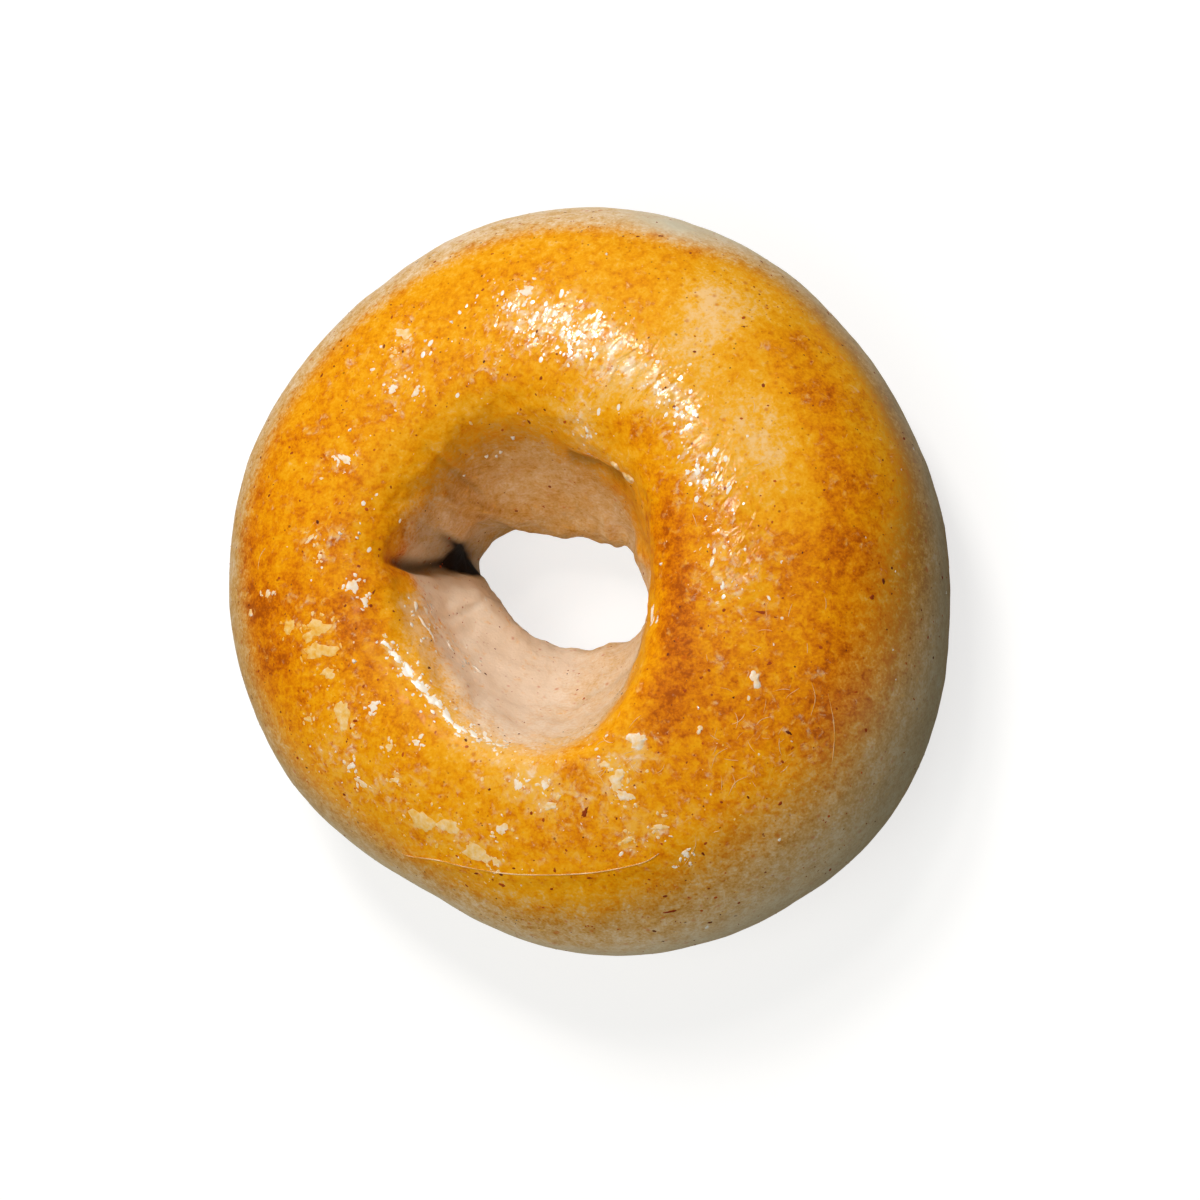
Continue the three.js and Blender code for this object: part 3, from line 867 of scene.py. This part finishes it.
perSquare = 1 / mm / mm / mm  # makes a density of chips per square mm
branFlecks = scatterPiece("branFlecks", "hollow", 3, 1, toastedBran, {
    "EverywhereDensity": 0.05 * perSquare, "Density": -0.02 * perSquare, "Smallest": 0.22, "Largest": 0.55,
    "Stretch": 1.8, "Turn": math.tau, "Thickness": 0.06, "Raggedness": 0.15})
doughGrains = scatterPiece("doughGrains", "milky", 7, 1, driedDough, {
    "EverywhereDensity": 0.0, "Density": 0.22 * perSquare, "Smallest": 0.14, "Largest": 0.6,
    "Stretch": 2.2, "Turn": math.tau, "Thickness": 0.06, "Raggedness": 0.2})

# Beads of egg wash that dried on the dough: clear to whitish, smooth and very glossy. Their near-white
# colour is a painted highlight standing in for pinpoint glints.
paintedGlintWash, tree = newMaterial("paintedGlintWash")
shader = addNode(tree, "ShaderNodeBsdfPrincipled", {
    "Base Color": fromHex("fff6e8"), "Roughness": 0.15, "IOR": 1.5, "Specular IOR Level": 0.6,
    "Coat Weight": 1.0, "Coat Roughness": 0.05})
addNode(tree, "ShaderNodeOutputMaterial", {"Surface": shader.outputs["BSDF"]})
paintedGlintBeads = addPatches("paintedGlintBeads", [
    (x, y, size, size * 0.9, 0, size * 0.45, 0.5) for x, y, size in (
        (-6.4, 19.3, 0.7), (-9.1, 17.7, 0.62), (-9.9, 17.2, 0.55), (-11.1, 17.0, 0.6), (-14.8, 14.4, 0.4),
        (-30.9, 4.7, 0.6), (-28.1, 4.7, 0.45), (-28.4, 4.0, 0.5), (-28.4, -14.7, 0.7), (18.6, -2.4, 0.5),
        (-29.6, 20.4, 0.55), (-17.9, 33.3, 0.45), (-13.7, 35.9, 0.5), (24.7, -24.0, 0.45), (9.6, 45.2, 0.4))
], 14, paintedGlintWash)

# The same wash in a broken line along the hole's rim, and in flecks where it is thickest. Both are
# near-white painted highlights on top of their real gloss.
paintedGlintLines = addPatches("paintedGlintLines", [
    (-23.8, -12.2, 1.9, 0.8, -50, 0.06, 0.5), (-22.3, -14.1, 2.4, 1.2, -48, 0.07, 0.5),
    (-20.5, -16.3, 3.2, 1.5, -50, 0.08, 0.5), (-18.4, -18.8, 3.4, 1.2, -50, 0.08, 0.5),
    (-16.3, -21.0, 3.4, 1.5, -48, 0.08, 0.5), (-14.2, -23.3, 3.0, 1.2, -46, 0.08, 0.5),
    (-12.2, -25.1, 2.6, 1.0, -38, 0.07, 0.5), (-10.2, -26.1, 2.0, 1.0, -28, 0.07, 0.5),
    (-8.1, -26.9, 1.6, 0.8, -24, 0.06, 0.5), (-6.4, -27.8, 1.3, 0.7, -30, 0.06, 0.5),
    (-21.3, -5.6, 2.2, 0.7, -80, 0.1, 0.5), (-20.3, -8.2, 2.2, 0.9, -70, 0.1, 0.5),
    (-19.2, -9.8, 2.4, 0.8, -50, 0.1, 0.5), (-17.7, -11.2, 2.2, 0.7, -45, 0.1, 0.5),
    (-14.6, -14.2, 1.6, 0.9, -60, 0.1, 0.5), (17.3, -10.6, 1.3, 0.4, 70, 0.06, 0.5),
], 15, paintedGlintWash, crumbs=4)
paintedGlintFlecks = scatterPiece("paintedGlintFlecks", "glossy", 17, 1, paintedGlintWash, {
    "EverywhereDensity": 0.002 * perSquare, "Density": 2.2 * perSquare, "Smallest": 0.18, "Largest": 0.8,
    "Stretch": 2.2, "Turn": 0.7, "Thickness": 0.06, "Raggedness": 0.2})

# Loose strands of dough skin, drawn out when the rings were shaped: fine, pale and slightly glossy.
doughStrand, tree = newMaterial("doughStrand")
place = addNode(tree, "ShaderNodeTexCoord").outputs["Object"]
uneasy = addNode(tree, "ShaderNodeTexNoise", {"Vector": place, "Scale": 1 / (3 * mm), "Detail": 2})
strandColour = addNode(
    tree, "ShaderNodeValToRGB", {"Fac": uneasy.outputs["Fac"]}, stops=[(0.35, "e2a548"), (0.65, "f2d2a4")])
shader = addNode(tree, "ShaderNodeBsdfPrincipled", {
    "Base Color": strandColour.outputs["Color"], "Roughness": 0.4, "IOR": 1.45})
addNode(tree, "ShaderNodeOutputMaterial", {"Surface": shader.outputs["BSDF"]})

strandSet = {
    "seam": [(-24.0, -42.4), (-22.4, -43.0), (-17.5, -43.9), (-12.9, -45.1), (-6.2, -46.4), (0.8, -46.9),
             (7.4, -46.8), (12.6, -46.1), (15.6, -45.4), (17.5, -44.3)],
    "longHairs": [
        [(42.7, -22.1), (43.2, -26.5), (42.7, -30.6), (41.2, -36.0)],
        [(26.2, -32.6), (27.0, -30.8), (28.6, -29.8)], [(28.2, -36.5), (29.4, -34.6), (31.2, -33.8)],
        [(40.3, -25.2), (41.0, -22.8), (40.6, -20.6)], [(-45.3, 0.5), (-44.9, 2.4), (-43.9, 3.6)],
        [(20.8, -45.8), (22.6, -43.6), (23.0, -41.8)], [(19.6, -46.6), (21.4, -48.4)],
    ],
    "hairZones": [  # middle, reach, how many
        ((31, -29), (9, 9), 26), ((14, -32), (6, 6), 14), ((38, -10), (6, 9), 7), ((27, 8), (6, 9), 6),
    ],
    "seamRadius": 0.09,
    "longHairRadius": 0.06,
    "hairRadius": (0.03, 0.055),
    "hairScatter": 0.6,         # as a share of its zone's reach
    "hairHeading": (1.0, 0.9),  # radians from +X, and how far it strays
    "hairBend": 0.25,           # radians at each step
    "hairWobble": 0.15,
    "hairSteps": (2, 5),
    "hairStep": 0.5,
    "lifted": 0.3,              # height of a strand's middle over the crust, in radii
    "tip": 0.35,                # its ends' share of its thickness
    "fineStep": 0.35,
}
draws = random.Random(21)
lines = [(strandSet["seamRadius"], strandSet["seam"])]
lines += [(strandSet["longHairRadius"], line) for line in strandSet["longHairs"]]
for (x, y), (reachX, reachY), count in strandSet["hairZones"]:
    for _ in range(count):
        strayX = draws.gauss(0, strandSet["hairScatter"])
        strayY = draws.gauss(0, strandSet["hairScatter"])
        spot = [x + strayX * reachX, y + strayY * reachY]
        heading = draws.gauss(*strandSet["hairHeading"])
        bend = draws.uniform(-strandSet["hairBend"], strandSet["hairBend"])
        line = [tuple(spot)]
        for _ in range(draws.randint(*strandSet["hairSteps"])):
            spot[0] += strandSet["hairStep"] * math.cos(heading)
            spot[1] += strandSet["hairStep"] * math.sin(heading)
            heading += bend + draws.uniform(-strandSet["hairWobble"], strandSet["hairWobble"])
            line.append(tuple(spot))
        lines.append((draws.uniform(*strandSet["hairRadius"]), line))
strandMesh = bpy.data.meshes.new("doughStrands")
points, links, thickness = [], [], []
for radius, line in lines:
    for k, (x, y) in enumerate(line):
        spot, face = onCrust(x, y)
        end = min(k, len(line) - 1 - k)
        points.append(spot + face * radius * strandSet["lifted"] * mm)
        thickness.append(radius * mm * (strandSet["tip"] if end == 0 else 1.0))
        if k:
            links.append((len(points) - 2, len(points) - 1))
strandMesh.from_pydata(points, links, [])
strandMesh.attributes.new("thickness", "FLOAT", "POINT").data.foreach_set("value", thickness)

strandTree, given = newTree("doughStrands", ["StepLength"])
curves = addNode(strandTree, "GeometryNodeMeshToCurve", {"Mesh": given["Geometry"]})
smooth = addNode(strandTree, "GeometryNodeCurveSplineType", {"Curve": curves.outputs["Curve"]},
                 spline_type="CATMULL_ROM")
fine = addNode(strandTree, "GeometryNodeResampleCurve", {
    "Curve": smooth.outputs["Curve"], "Length": given["StepLength"]}, mode="LENGTH")
radius = addNode(strandTree, "GeometryNodeInputNamedAttribute", {"Name": "thickness"}).outputs["Attribute"]
profile = addNode(strandTree, "GeometryNodeCurvePrimitiveCircle", {"Resolution": 6, "Radius": 1.0})
skinned = addNode(strandTree, "GeometryNodeCurveToMesh", {
    "Curve": fine.outputs["Curve"], "Profile Curve": profile.outputs["Curve"], "Scale": radius,
    "Fill Caps": True})
endTree(strandTree, skinned.outputs["Mesh"], given)
doughStrands = addObject("doughStrands", strandMesh)
runTree(doughStrands, strandTree, doughStrand, {"StepLength": strandSet["fineStep"]})
print("strands", len(doughStrands.data.polygons), "faces")

for piece in (crust, paleFlakes, blisters, branDashes, branFlecks, doughGrains, paintedGlintBeads, paintedGlintLines,
              paintedGlintFlecks, doughStrands):
    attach(piece, "root")
